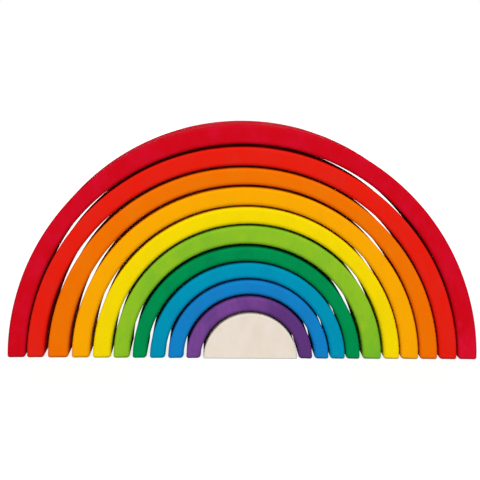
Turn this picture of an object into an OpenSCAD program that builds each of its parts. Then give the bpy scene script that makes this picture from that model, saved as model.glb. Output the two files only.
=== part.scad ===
// Rainbow stacker: ten loose wooden arches that nest around a half disc.
// Millimetres, +Z up, the arches span X and run through along Y.
// The origin is on the floor, in the middle of the largest arch.
// Every piece is a round slice of board with rounded rims, sawn off a little above its
// middle. The bore of an arch follows the piece that was sawn out of it, so a hand-sawn
// wall is not quite the same all the way round.

/* [Nest] */
// Depth of every piece, front to back
depth = 70; // [40:1:110]
// Saw cut between neighbouring pieces
gap = 1.6; // [1.2:0.1:4]
// Height that most of the half rings lose to the saw and the sander at their feet
foot_trim = 1.1; // [0:0.1:4]

/* [Edges] */
// Rounding of the outer rims, front and back
rim_r = 2.2; // [0.5:0.1:4]
// Rounding of the rims round each bore, front and back
bore_rim_r = 3; // [0.5:0.1:4]
// Radius of the easing round the edges of an arch's feet
foot_r = 2; // [0.5:0.1:4]
// Radius of the easing round the edges of the half disc's flat side
disc_foot_r = 1; // [0.5:0.1:4]

/* [Walls] */
// Radius of the half disc in the middle
disc_r = 36.3; // [20:0.1:60]
// Wall of the purple arch, on average
purple_wall = 11; // [9:0.1:20]
// Wall of the blue arch, on average
blue_wall = 11.7; // [9:0.1:20]
// Wall of the teal arch, on average
teal_wall = 11.7; // [9:0.1:20]
// Wall of the green arch, on average
green_wall = 10.8; // [9:0.1:20]
// Wall of the lime arch, on average
lime_wall = 13.9; // [9:0.1:20]
// Wall of the yellow arch, on average
yellow_wall = 13.4; // [9:0.1:20]
// Wall of the amber arch, on average
amber_wall = 13.9; // [9:0.1:20]
// Wall of the orange arch, on average
orange_wall = 15.1; // [9:0.1:20]
// Wall of the red arch, on average
red_wall = 13.9; // [9:0.1:20]
// Wall of the crimson arch, the largest, on average
crimson_wall = 13.5; // [9:0.1:20]

/* [Hidden] */
$fn = 96;

// Outer radius of each arch: the piece inside it, the saw cut and the wall
purple_r = disc_r + gap + purple_wall;
blue_r = purple_r + gap + blue_wall;
teal_r = blue_r + gap + teal_wall;
green_r = teal_r + gap + green_wall;
lime_r = green_r + gap + lime_wall;
yellow_r = lime_r + gap + yellow_wall;
amber_r = yellow_r + gap + amber_wall;
orange_r = amber_r + gap + orange_wall;
red_r = orange_r + gap + red_wall;
crimson_r = red_r + gap + crimson_wall;

// Where the axis of each ring lies in the front view: how far to the right of the largest
// arch's middle, and how far below the floor
crimson_axis = [0, -1.1 * foot_trim];
red_axis = [-0.4, -2.7 * foot_trim];
orange_axis = [0.1, -3.1 * foot_trim];
amber_axis = [1.9, -1.4 * foot_trim];
yellow_axis = [2.7, -foot_trim];
lime_axis = [3.5, -0.5 * foot_trim];
green_axis = [2.6, -foot_trim];
teal_axis = [3.5, -foot_trim];
blue_axis = [4.2, -foot_trim];
purple_axis = [4.9, -0.5 * foot_trim];
disc_axis = [5.6, -foot_trim];

// Distance that a cutting tool reaches past the wood
over = 1;

// Depth of an easing circle's middle in the wood: a little less than its radius, so that
// the circle runs out through the face at a shallow angle
function ease_depth(ease_r) = 0.94 * ease_r;

// Middle of the circle that eases a foot corner, seen from the axis of its ring; reach is
// its distance from there and height how far it lies above that axis
function ease_middle(reach, height) = [sqrt(pow(reach, 2) - pow(height, 2)), height];

// Section through a round slice, from its axis to its rounded rims
module slice_section(r) {
    difference() {
        translate([0, -depth / 2]) square([r, depth]);
        for (end = [0, 1]) mirror([0, end]) difference() {
            translate([r - rim_r, depth / 2 - rim_r]) square(rim_r + over);
            translate([r - rim_r, depth / 2 - rim_r]) circle(rim_r);
        }
    }
}

// Section through a bore, from its axis to its wall, with rims that flare out
module bore_section(r) {
    flare = ease_depth(bore_rim_r);
    translate([0, -depth / 2 - over]) square([r, depth + 2 * over]);
    for (end = [0, 1]) mirror([0, end]) difference() {
        translate([r - over, depth / 2 - flare]) square([bore_rim_r + over, flare + over]);
        translate([r + bore_rim_r, depth / 2 - flare]) circle(bore_rim_r);
    }
}

// A section turned round the axis of its ring, with the seam at the bottom
module turned(axis) {
    translate([axis.x, 0, axis.y]) rotate([90, 0, 0]) rotate([0, 0, -90]) rotate_extrude() children();
}

// The sharp corners that the two feet lose on one side of the wall, right through the
// piece; side is 1 for the outer corners and -1 for those at the bore
module foot_corners(r, axis, side, ease_r) {
    sunk = ease_depth(ease_r);
    middle = ease_middle(r - side * sunk, sunk - axis.y);
    outward = side * middle / norm(middle);
    for (half = [0, 1]) translate([axis.x, 0, axis.y]) mirror([half, 0, 0]) rotate([90, 0, 0])
        linear_extrude(depth + 2 * over, center = true) difference() {
            polygon([
                middle,
                [middle.x, -axis.y - over],
                [middle.x + side * (sunk + over), -axis.y - over],
                middle + (sunk + over) * outward
            ]);
            translate(middle) circle(ease_r);
        }
}

// The sharp front edge that the feet lose, right across the piece
module foot_front(axis, reach, ease_r) {
    sunk = ease_depth(ease_r);
    translate([axis.x, 0, 0]) rotate([90, 0, 90]) linear_extrude(2 * reach, center = true) difference() {
        translate([-depth / 2 - over, -over]) square(sunk + over);
        translate([sunk - depth / 2, sunk]) circle(ease_r);
    }
}

// A round slice standing on edge, sawn off at the floor, with eased feet
module half_slice(r, axis, ease_r) {
    reach = r + over;
    difference() {
        turned(axis) slice_section(r);
        translate([axis.x - reach, -depth / 2 - over, axis.y - reach])
            cube([2 * reach, depth + 2 * over, reach - axis.y]);
        foot_corners(r, axis, 1, ease_r);
        for (face = [0, 1]) mirror([0, face, 0]) foot_front(axis, reach, ease_r);
    }
}

// An arch: a half slice, bored out round the piece that stands inside it, with a clearance
// all round. That piece stands off the middle of the bore, to the right and down. All three
// are shares of the gap.
module arch(r, axis, inside_r, inside_axis, clearance, right, down) {
    bore_r = inside_r + gap * clearance;
    bore_axis = inside_axis + gap * [-right, down];
    difference() {
        half_slice(r, axis, foot_r);
        turned(bore_axis) bore_section(bore_r);
        foot_corners(bore_r, bore_axis, -1, foot_r);
    }
}

module crimson_arch() {
    color("#CC0A1C") arch(crimson_r, crimson_axis, red_r, red_axis, 0.4, -0.05, 1);
}

module red_arch() {
    color("#E31E12") arch(red_r, red_axis, orange_r, orange_axis, 1.1, 0.4, 0);
}

module orange_arch() {
    color("#EE6E04") arch(orange_r, orange_axis, amber_r, amber_axis, 1, 0.4, 0.25);
}

module amber_arch() {
    color("#F9A806") arch(amber_r, amber_axis, yellow_r, yellow_axis, 0.95, 0.4, 0);
}

module yellow_arch() {
    color("#F4D80E") arch(yellow_r, yellow_axis, lime_r, lime_axis, 1, 0, 0);
}

module lime_arch() {
    color("#88BE25") arch(lime_r, lime_axis, green_r, green_axis, 1.15, 0, 0.25);
}

module green_arch() {
    color("#048A4A") arch(green_r, green_axis, teal_r, teal_axis, 0.85, 0.5, 0);
}

module teal_arch() {
    color("#0490B3") arch(teal_r, teal_axis, blue_r, blue_axis, 0.85, 0.35, 0);
}

module blue_arch() {
    color("#167EC4") arch(blue_r, blue_axis, purple_r, purple_axis, 1, 0.15, 0);
}

module purple_arch() {
    color("#6E3F86") arch(purple_r, purple_axis, disc_r, disc_axis, 1, 0.3, 0);
}

module half_disc() {
    color("#E7DBCD") half_slice(disc_r, disc_axis, disc_foot_r);
}

crimson_arch();
red_arch();
orange_arch();
amber_arch();
yellow_arch();
lime_arch();
green_arch();
teal_arch();
blue_arch();
purple_arch();
half_disc();
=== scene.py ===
import math

import bmesh
import bpy
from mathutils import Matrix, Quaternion, Vector


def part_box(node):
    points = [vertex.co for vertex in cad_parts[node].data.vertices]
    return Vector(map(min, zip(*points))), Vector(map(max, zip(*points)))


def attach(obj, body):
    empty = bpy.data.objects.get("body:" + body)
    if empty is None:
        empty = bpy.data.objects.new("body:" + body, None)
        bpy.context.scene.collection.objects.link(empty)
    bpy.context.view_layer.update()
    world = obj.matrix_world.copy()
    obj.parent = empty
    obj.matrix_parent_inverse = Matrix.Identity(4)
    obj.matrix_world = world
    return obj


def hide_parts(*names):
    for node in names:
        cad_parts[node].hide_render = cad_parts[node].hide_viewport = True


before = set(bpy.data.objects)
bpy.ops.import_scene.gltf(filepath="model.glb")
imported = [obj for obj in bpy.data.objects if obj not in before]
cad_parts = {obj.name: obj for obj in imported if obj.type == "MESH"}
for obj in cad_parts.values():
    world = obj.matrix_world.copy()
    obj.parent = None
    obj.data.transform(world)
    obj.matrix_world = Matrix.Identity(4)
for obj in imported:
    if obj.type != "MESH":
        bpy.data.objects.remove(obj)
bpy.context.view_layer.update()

# Sizes of the wood, in metres: the saw cut, the rounded rims, the eased edges of the feet, the
# plain run above a foot, and what sanding takes off, over which distance
GAP = 0.0016
RIM_ROUNDING = 0.0022
BORE_ROUNDING = 0.003
FOOT_EASING = 0.0019
BORE_FOOT_EASING = 0.0027
FOOT_RUN = 0.0055
DISC_ROUNDING = 0.0013
DISC_EASING = 0.001
SANDED_OFF = 0.0002
SANDING_SPREAD = 0.045

# What counts as no height (metres), no turn (radians) and straight (the share of an edge that
# runs along a direction)
NO_HEIGHT = 0.000001
NO_TURN = 0.001
STRAIGHT = 0.999

# Fineness of the meshes, and the widest bend that is shaded smooth
STEPS_ROUND = 120
STEPS_THROUGH = 14
STEPS_ACROSS = 4
RIM_STEPS = 6
FOOT_STEPS = 4
SMOOTH_BEND = math.radians(40)

# The loose pieces from the outside in, with the colour of each stain: as it lies on most of
# the face, and in the patches where the wood took it otherwise
STAINS = {
    "crimson": ("#CC0A19", "#D3102E"),
    "red": ("#E51E10", "#DF261B"),
    "orange": ("#EF7003", "#EB770B"),
    "amber": ("#F9A904", "#F4A40A"),
    "yellow": ("#F5D907", "#EFD30A"),
    "lime": ("#90C126", "#7CB82A"),
    "green": ("#02904F", "#05834A"),
    "teal": ("#0394B7", "#068CB0"),
    "blue": ("#1481C8", "#1A79BD"),
    "purple": ("#784692", "#663C82"),
}
BARE_WOOD = ("#EBE0D3", "#E5D7C7")

# Right legs of another colour: on the crimson a brighter tone, painted light that makes up for the
# lamp's light falling off towards the right; on the lime and purple a darker tone. The colour, and where
# it sets in and is full, as shares of the way from the middle of the arch down to its right foot
RIGHT_LEG_TONES_AND_PAINTED_LIGHT = {
    "crimson": ("#E2163A", 0.8, 1.1),
    "lime": ("#72B82A", 0.6, 1),
    "purple": ("#5E3679", -0.75, -0.2),
}
DISC = "half_disc"

# The bore of each arch: the clearance all round the piece inside it, and how far that piece
# stands off the middle of the bore, to the right and down, all as shares of the gap
BORES = {
    "crimson": (0.4, -0.05, 1),
    "red": (1.1, 0.4, 0),
    "orange": (1, 0.4, 0.25),
    "amber": (0.95, 0.4, 0),
    "yellow": (1, 0, 0),
    "lime": (1.15, 0, 0.25),
    "green": (0.85, 0.5, 0),
    "teal": (0.85, 0.35, 0),
    "blue": (1, 0.15, 0),
    "purple": (1, 0.3, 0),
}


def linear(colour):
    """The scene's own red, green and blue for a colour written as it looks."""
    parts = [int(colour[place:place + 2], 16) / 255 for place in (1, 3, 5)]
    return [part / 12.92 if part <= 0.04045 else ((part + 0.055) / 1.055) ** 2.4 for part in parts] + [1]


# Camera, set so that the arches lie as they do in the photo

PHOTO_SIDE = 480
FOCAL_PIXELS = 1452
SENSOR = 36
EYE = Vector((-0.0302, -1.132, 0.2345))
AIM = Vector((-0.0032, -0.035, 0.0923))
ROLL = math.radians(0.55)


def place_camera():
    lens = bpy.data.cameras.new("photo_camera")
    lens.sensor_width = SENSOR
    lens.lens = FOCAL_PIXELS / PHOTO_SIDE * SENSOR
    camera = bpy.data.objects.new("photo_camera", lens)
    bpy.context.scene.collection.objects.link(camera)
    camera.location = EYE
    look = (AIM - EYE).to_track_quat("-Z", "Y") @ Quaternion((0, 0, 1), ROLL)
    camera.rotation_euler = look.to_euler()
    bpy.context.scene.camera = camera


# Modelling

def start_shaping(name):
    """Names the primitive that was just added and opens it in edit mode."""
    piece = bpy.context.object
    piece.name = name
    piece.data.name = name
    bpy.ops.object.mode_set(mode="EDIT")
    bpy.ops.mesh.select_mode(type="EDGE")
    return piece


def select_parts(piece, kind, wanted):
    """Selects the points, edges or faces of a mesh that are wanted."""
    bpy.ops.mesh.select_mode(type=kind)
    bpy.ops.mesh.select_all(action="DESELECT")
    shape = bmesh.from_edit_mesh(piece.data)
    for part in {"VERT": shape.verts, "EDGE": shape.edges, "FACE": shape.faces}[kind]:
        if wanted(part):
            part.select_set(True)
    bmesh.update_edit_mesh(piece.data)


def lies_along(edge, direction):
    run = edge.verts[1].co - edge.verts[0].co
    return abs(run.dot(direction)) > STRAIGHT * run.length


def move_bore(piece, axis, bore, wall, shift):
    """Slides the bore of an arch; the rings of points between it and the outer wall follow,
    each by its share."""
    spacing = (wall - RIM_ROUNDING - BORE_ROUNDING) / STEPS_ACROSS
    shape = bmesh.from_edit_mesh(piece.data)
    rings = {}
    for point in shape.verts:
        reach = math.hypot(point.co.x - axis.x, point.co.z - axis.z)
        ring = max(0, round((reach - bore - BORE_ROUNDING) / spacing))
        rings[point.index] = min(ring, STEPS_ACROSS)
    for ring in range(STEPS_ACROSS):
        select_parts(piece, "VERT", lambda point: rings[point.index] == ring)
        bpy.ops.transform.translate(value=shift * (1 - ring / STEPS_ACROSS))


def sand_by_hand(piece):
    """Takes a little wood off all over, more here than there, so no face is dead flat."""
    cloud = bpy.data.textures.new(f"{piece.name}_sanding", "CLOUDS")
    cloud.noise_scale = SANDING_SPREAD
    cloud.noise_depth = 1
    bpy.ops.object.modifier_add(type="DISPLACE")
    sanding = piece.modifiers[-1]
    sanding.texture = cloud
    sanding.texture_coords = "LOCAL"
    sanding.mid_level = 1
    sanding.strength = SANDED_OFF
    bpy.ops.object.modifier_apply(modifier=sanding.name)


def foot_easing(place, walls):
    """How far the edge of a foot is eased at a place: more at the bore than outside, and evenly
    round each corner. Each wall is the axis and radius of a round, the bore first."""
    side = math.copysign(1, place.x - walls[0][0].x)
    bore_x, outer_x = [axis.x + side * math.sqrt(radius ** 2 - axis.z ** 2) for axis, radius in walls]
    start = BORE_ROUNDING + SANDED_OFF
    flat = abs(outer_x - bore_x) - start - RIM_ROUNDING - SANDED_OFF
    step = flat / STEPS_ACROSS
    share = min(max((abs(place.x - bore_x) - start - step) / (flat - 2 * step), 0), 1)
    return BORE_FOOT_EASING + share * (FOOT_EASING - BORE_FOOT_EASING)


def clear_low_steps(piece, axis, radius):
    """Takes out the steps of the round just above the floor, where the easing needs room."""
    highest = math.asin((FOOT_RUN - axis.z) / radius)

    def is_low_step(edge):
        first, second = [
            math.atan2(point.co.z - axis.z, abs(point.co.x - axis.x)) for point in edge.verts]
        return abs(first - second) < NO_TURN and NO_TURN < first < highest

    select_parts(piece, "EDGE", is_low_step)
    bpy.ops.mesh.dissolve_edges(use_verts=True)


def saw_feet_flat(piece, easing):
    """Cuts off what lies below the floor and eases the edges of the cut, in edit mode; easing
    gives how far for a place on them."""
    bpy.ops.mesh.select_all(action="SELECT")
    bpy.ops.mesh.bisect(plane_co=(0, 0, 0), plane_no=(0, 0, 1), use_fill=True, clear_inner=True)
    shape = bmesh.from_edit_mesh(piece.data)
    shares = shape.edges.layers.float.new("bevel_weight_edge")
    for edge in shape.edges:
        if max(point.co.z for point in edge.verts) < NO_HEIGHT:
            edge[shares] = easing((edge.verts[0].co + edge.verts[1].co) / 2) / BORE_FOOT_EASING
    bmesh.update_edit_mesh(piece.data)
    bpy.ops.object.mode_set(mode="OBJECT")
    bpy.ops.object.modifier_add(type="BEVEL")
    rounding = piece.modifiers[-1]
    rounding.limit_method = "WEIGHT"
    rounding.width = BORE_FOOT_EASING
    rounding.segments = FOOT_STEPS
    rounding.use_clamp_overlap = False
    bpy.ops.object.modifier_apply(modifier=rounding.name)
    bpy.ops.object.mode_set(mode="EDIT")
    select_parts(piece, "VERT", lambda point: point.co.z < NO_HEIGHT)
    bpy.ops.transform.resize(value=(1, 1, 0), center_override=(0, 0, 0))
    bpy.ops.mesh.select_all(action="SELECT")
    bpy.ops.mesh.normals_make_consistent(inside=False)


def finish_smooth(piece):
    bpy.ops.object.shade_smooth_by_angle(angle=SMOOTH_BEND)
    bpy.ops.object.modifier_add(type="WEIGHTED_NORMAL")
    evening = piece.modifiers[-1]
    evening.keep_sharp = True
    bpy.ops.object.modifier_apply(modifier=evening.name)


def ring_of(node):
    """Axis, outer radius and depth of the ring that a piece is sawn from."""
    low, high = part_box(node)
    outer = (high.x - low.x) / 2
    return Vector(((low.x + high.x) / 2, 0, high.z - outer)), outer, high.y - low.y


def turn_arch(node, inside, clearance, right, down):
    """An arch: the rounded section of its wall, spun over from foot to foot, with its bore
    moved to where the piece inside it stands."""
    axis, outer, depth = ring_of(node)
    inside_axis, inside_outer, _ = ring_of(inside)
    bore = inside_outer + GAP * clearance
    wall = outer - bore
    bpy.ops.object.select_all(action="DESELECT")
    bpy.ops.mesh.primitive_plane_add(size=1)
    piece = start_shaping(node.replace("_arch", "_wooden_arch"))
    bpy.ops.mesh.select_all(action="SELECT")
    bpy.ops.transform.resize(value=(wall, depth, 1))
    bpy.ops.transform.translate(value=(axis.x + bore + wall / 2, 0, axis.z))
    for edge_x, rounding in ((axis.x + bore, BORE_ROUNDING), (axis.x + outer, RIM_ROUNDING)):
        select_parts(piece, "VERT", lambda point: abs(point.co.x - edge_x) < RIM_ROUNDING / 2)
        bpy.ops.mesh.bevel(offset=rounding, segments=RIM_STEPS, affect="VERTICES")
    bpy.ops.mesh.select_all(action="SELECT")
    bpy.ops.mesh.delete(type="ONLY_FACE")
    select_parts(piece, "EDGE", lambda edge: lies_along(edge, Vector((0, 1, 0))))
    bpy.ops.mesh.subdivide(number_cuts=STEPS_THROUGH - 1)
    select_parts(piece, "EDGE", lambda edge: lies_along(edge, Vector((1, 0, 0))))
    bpy.ops.mesh.subdivide(number_cuts=STEPS_ACROSS - 1)
    bpy.ops.mesh.select_all(action="SELECT")
    bpy.ops.mesh.spin(steps=STEPS_ROUND, angle=math.pi, center=axis, axis=(0, 1, 0))
    bpy.ops.mesh.select_all(action="SELECT")
    bpy.ops.mesh.normals_make_consistent(inside=False)
    clear_low_steps(piece, axis, bore)
    bore_axis = inside_axis + GAP * Vector((-right, 0, down))
    move_bore(piece, axis, bore, wall, bore_axis - axis)
    bpy.ops.object.mode_set(mode="OBJECT")
    sand_by_hand(piece)
    bpy.ops.object.mode_set(mode="EDIT")
    saw_feet_flat(piece, lambda place: foot_easing(place, ((bore_axis, bore), (axis, outer))))
    bpy.ops.object.mode_set(mode="OBJECT")
    finish_smooth(piece)
    return piece


def turn_half_disc(node):
    """The half disc: a round slice with rounded rims, sawn in two."""
    axis, outer, depth = ring_of(node)
    bpy.ops.object.select_all(action="DESELECT")
    bpy.ops.mesh.primitive_cylinder_add(vertices=2 * STEPS_ROUND, radius=outer, depth=depth)
    piece = start_shaping("bare_wooden_half_disc")
    bpy.ops.mesh.select_all(action="SELECT")
    bpy.ops.transform.rotate(value=math.pi / 2, orient_axis="X", center_override=(0, 0, 0))
    bpy.ops.transform.translate(value=axis)
    select_parts(piece, "EDGE", lambda edge: not lies_along(edge, Vector((0, 1, 0))))
    bpy.ops.mesh.bevel(offset=DISC_ROUNDING, segments=RIM_STEPS, affect="EDGES")
    clear_low_steps(piece, axis, outer)
    saw_feet_flat(piece, lambda place: DISC_EASING)
    bpy.ops.object.mode_set(mode="OBJECT")
    finish_smooth(piece)
    return piece


# Finishes

# The patterns in a stain: how finely each is laid along X, Y and Z, its detail and roughness,
# the part of it that shows, and how much of the patch colour it brings there at most
PATTERNS = {
    "blotches": ((60, 60, 40), 3, 0.55, (0.45, 0.75), 1),
    "clouds": ((150, 150, 100), 2, 0.5, (0.5, 0.8), 0.6),
    "growth": ((110, 60, 5), 2, 0.5, (0.5, 0.75), 0.3),
    "fibres": ((900, 900, 45), 3, 0.6, (0.5, 0.8), 0.4),
}

# Matt wood: its sheen, its roughness where the fibres are low and high, and their depth in metres
SHEEN = 0.001
FIBRE_RANGE = (0.3, 0.7)
FIBRE_ROUGHNESS = (0.5, 0.62)
FIBRE_DEPTH = 0.00006
FIBRE_STRENGTH = 0.5

# How far the border of a right leg's tone wanders, as a share of the arch's radius
RAGGED = 0.2


def noise(tree, spread, detail, roughness):
    """A soft random pattern laid through the block that all the pieces are sawn from."""
    place = tree.nodes.new("ShaderNodeTexCoord")
    stretch = tree.nodes.new("ShaderNodeMapping")
    stretch.inputs["Scale"].default_value = spread
    pattern = tree.nodes.new("ShaderNodeTexNoise")
    pattern.inputs["Scale"].default_value = 1
    pattern.inputs["Detail"].default_value = detail
    pattern.inputs["Roughness"].default_value = roughness
    tree.links.new(place.outputs["Object"], stretch.inputs["Vector"])
    tree.links.new(stretch.outputs["Vector"], pattern.inputs["Vector"])
    return pattern.outputs["Fac"]


def between(tree, value, low, high, to_low=0.0, to_high=1.0):
    """Spreads the part of a pattern that lies between two values over another range."""
    span = tree.nodes.new("ShaderNodeMapRange")
    for name, number in (("From Min", low), ("From Max", high), ("To Min", to_low), ("To Max", to_high)):
        span.inputs[name].default_value = number
    tree.links.new(value, span.inputs["Value"])
    return span.outputs["Result"]


def mixed(tree, factor, first, second):
    """One colour over another, each a colour or the output of a node."""
    mix = tree.nodes.new("ShaderNodeMix")
    mix.data_type = "RGBA"
    tree.links.new(factor, mix.inputs["Factor"])
    for socket, colour in ((mix.inputs[6], first), (mix.inputs[7], second)):
        if isinstance(colour, list):
            socket.default_value = colour
        else:
            tree.links.new(colour, socket)
    return mix.outputs[2]


def right_leg(tree, radius, start, full):
    """How far the right leg of an arch has taken its other tone (painted light on the crimson), with a
    ragged border.
    """
    place = tree.nodes.new("ShaderNodeTexCoord")
    parts = tree.nodes.new("ShaderNodeSeparateXYZ")
    tree.links.new(place.outputs["Object"], parts.inputs["Vector"])
    along = tree.nodes.new("ShaderNodeMath")
    along.operation = "SUBTRACT"
    tree.links.new(parts.outputs["X"], along.inputs[0])
    tree.links.new(parts.outputs["Z"], along.inputs[1])
    ragged = tree.nodes.new("ShaderNodeMath")
    ragged.operation = "ADD"
    tree.links.new(along.outputs["Value"], ragged.inputs[0])
    clouds = noise(tree, *PATTERNS["clouds"][:3])
    border = between(tree, clouds, 0, 1, -RAGGED * radius, RAGGED * radius)
    tree.links.new(border, ragged.inputs[1])
    return between(tree, ragged.outputs["Value"], start * radius, full * radius)


def stained_wood(name, face, patch):
    """Matt wood of one colour, with patches of another along its patterns."""
    material = bpy.data.materials.new(name)
    material.use_nodes = True
    tree = material.node_tree
    shader = tree.nodes["Principled BSDF"]
    laid = {}
    colour = linear(face)
    for pattern, (spread, detail, roughness, shown, most) in PATTERNS.items():
        laid[pattern] = noise(tree, spread, detail, roughness)
        colour = mixed(tree, between(tree, laid[pattern], *shown, 0, most), colour, linear(patch))
    tree.links.new(colour, shader.inputs["Base Color"])
    rough = between(tree, laid["fibres"], *FIBRE_RANGE, *FIBRE_ROUGHNESS)
    tree.links.new(rough, shader.inputs["Roughness"])
    shader.inputs["Specular IOR Level"].default_value = SHEEN
    bump = tree.nodes.new("ShaderNodeBump")
    bump.inputs["Distance"].default_value = FIBRE_DEPTH
    bump.inputs["Strength"].default_value = FIBRE_STRENGTH
    tree.links.new(laid["fibres"], bump.inputs["Height"])
    tree.links.new(bump.outputs["Normal"], shader.inputs["Normal"])
    return material


def recolour_right_leg(material, radius, tone, start, full):
    """Lays another tone over the right leg of a stained arch; on the crimson this is painted light, a
    brighter tone where the lamp's light falls off towards the right.
    """
    tree = material.node_tree
    base = tree.nodes["Principled BSDF"].inputs["Base Color"]
    colour = base.links[0].from_socket
    tree.links.new(mixed(tree, right_leg(tree, radius, start, full), colour, linear(tone)), base)


# Stage

# Light from all round, as a share of white
AMBIENT = 0.06

# The paper: its width, its colour and roughness, and the distances from the middle of the nest
# between which its own white grows from one share to the other
FLOOR_SIZE = 8
PAPER = (0.25, 0.25, 0.25, 1)
PAPER_ROUGHNESS = 0.9
SHADE_REACH = (0.2, 0.7)
WHITE_SHARE = (0.84, 1)

# Place, width and power of each light, and the point that all of them face
LIGHTS = {
    "front_light": ((-0.1, -4.7, 2.4), 3.6, 300),
    "top_light": ((0, 0, 2.6), 2, 10),
    "back_light": ((0.25, 2.9, 1.2), 2.4, 80),
}
LIT_POINT = Vector((0, 0, 0.08))


def looked_at(tree):
    """1 where the camera looks, straight or by a reflection or through glass, and 0 for light."""
    path = tree.nodes.new("ShaderNodeLightPath")
    seen = path.outputs["Is Camera Ray"]
    for ray in ("Is Glossy Ray", "Is Transmission Ray"):
        either = tree.nodes.new("ShaderNodeMath")
        either.operation = "MAXIMUM"
        tree.links.new(seen, either.inputs[0])
        tree.links.new(path.outputs[ray], either.inputs[1])
        seen = either.outputs["Value"]
    return seen


def white_backdrop():
    """A world that lights softly and looks white."""
    world = bpy.data.worlds.new("studio")
    bpy.context.scene.world = world
    world.use_nodes = True
    tree = world.node_tree
    tree.nodes.clear()
    soft = tree.nodes.new("ShaderNodeBackground")
    soft.inputs["Color"].default_value = (1, 1, 1, 1)
    soft.inputs["Strength"].default_value = AMBIENT
    white = tree.nodes.new("ShaderNodeBackground")
    white.inputs["Color"].default_value = (1, 1, 1, 1)
    mix = tree.nodes.new("ShaderNodeMixShader")
    tree.links.new(looked_at(tree), mix.inputs["Fac"])
    tree.links.new(soft.outputs[0], mix.inputs[1])
    tree.links.new(white.outputs[0], mix.inputs[2])
    out = tree.nodes.new("ShaderNodeOutputWorld")
    tree.links.new(mix.outputs[0], out.inputs["Surface"])


def white_floor():
    """White paper that keeps a pale shadow of the nest and is plain white further off."""
    bpy.ops.object.select_all(action="DESELECT")
    bpy.ops.mesh.primitive_plane_add(size=FLOOR_SIZE)
    floor = bpy.context.object
    floor.name = "floor"
    material = bpy.data.materials.new("white_paper")
    material.use_nodes = True
    tree = material.node_tree
    shader = tree.nodes["Principled BSDF"]
    shader.inputs["Base Color"].default_value = PAPER
    shader.inputs["Roughness"].default_value = PAPER_ROUGHNESS
    shader.inputs["Specular IOR Level"].default_value = 0
    place = tree.nodes.new("ShaderNodeTexCoord")
    away = tree.nodes.new("ShaderNodeVectorMath")
    away.operation = "LENGTH"
    tree.links.new(place.outputs["Object"], away.inputs[0])
    white = between(tree, away.outputs["Value"], *SHADE_REACH, *WHITE_SHARE)
    share = tree.nodes.new("ShaderNodeMath")
    share.operation = "MULTIPLY"
    tree.links.new(looked_at(tree), share.inputs[0])
    tree.links.new(white, share.inputs[1])
    glow = tree.nodes.new("ShaderNodeEmission")
    tree.links.new(share.outputs["Value"], glow.inputs["Strength"])
    both = tree.nodes.new("ShaderNodeAddShader")
    tree.links.new(shader.outputs[0], both.inputs[0])
    tree.links.new(glow.outputs[0], both.inputs[1])
    tree.links.new(both.outputs[0], tree.nodes["Material Output"].inputs["Surface"])
    floor.data.materials.append(material)


def soft_light(name, place, width, power):
    lamp = bpy.data.lights.new(name, "AREA")
    lamp.size = width
    lamp.energy = power
    light = bpy.data.objects.new(name, lamp)
    bpy.context.scene.collection.objects.link(light)
    light.location = place
    light.rotation_euler = (LIT_POINT - light.location).to_track_quat("-Z", "Y").to_euler()
    light.visible_glossy = False


# The object

def dress(piece, node, finish):
    piece.data.materials.append(finish)
    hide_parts(node)
    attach(piece, node)


place_camera()
names = list(STAINS)
inner_nodes = [f"{name}_arch" for name in names[1:]] + [DISC]
for name, inside in zip(names, inner_nodes):
    node = f"{name}_arch"
    finish = stained_wood(f"{name}_stain", *STAINS[name])
    # The crimson's right leg gets painted light, a brighter tone; the lime's and purple's right legs get
    # a darker tone
    if name in RIGHT_LEG_TONES_AND_PAINTED_LIGHT:
        recolour_right_leg(finish, ring_of(node)[1], *RIGHT_LEG_TONES_AND_PAINTED_LIGHT[name])
    dress(turn_arch(node, inside, *BORES[name]), node, finish)
dress(turn_half_disc(DISC), DISC, stained_wood("bare_limewood", *BARE_WOOD))

white_backdrop()
white_floor()
for name, (place, width, power) in LIGHTS.items():
    soft_light(name, place, width, power)
bpy.context.scene.view_settings.view_transform = "Standard"
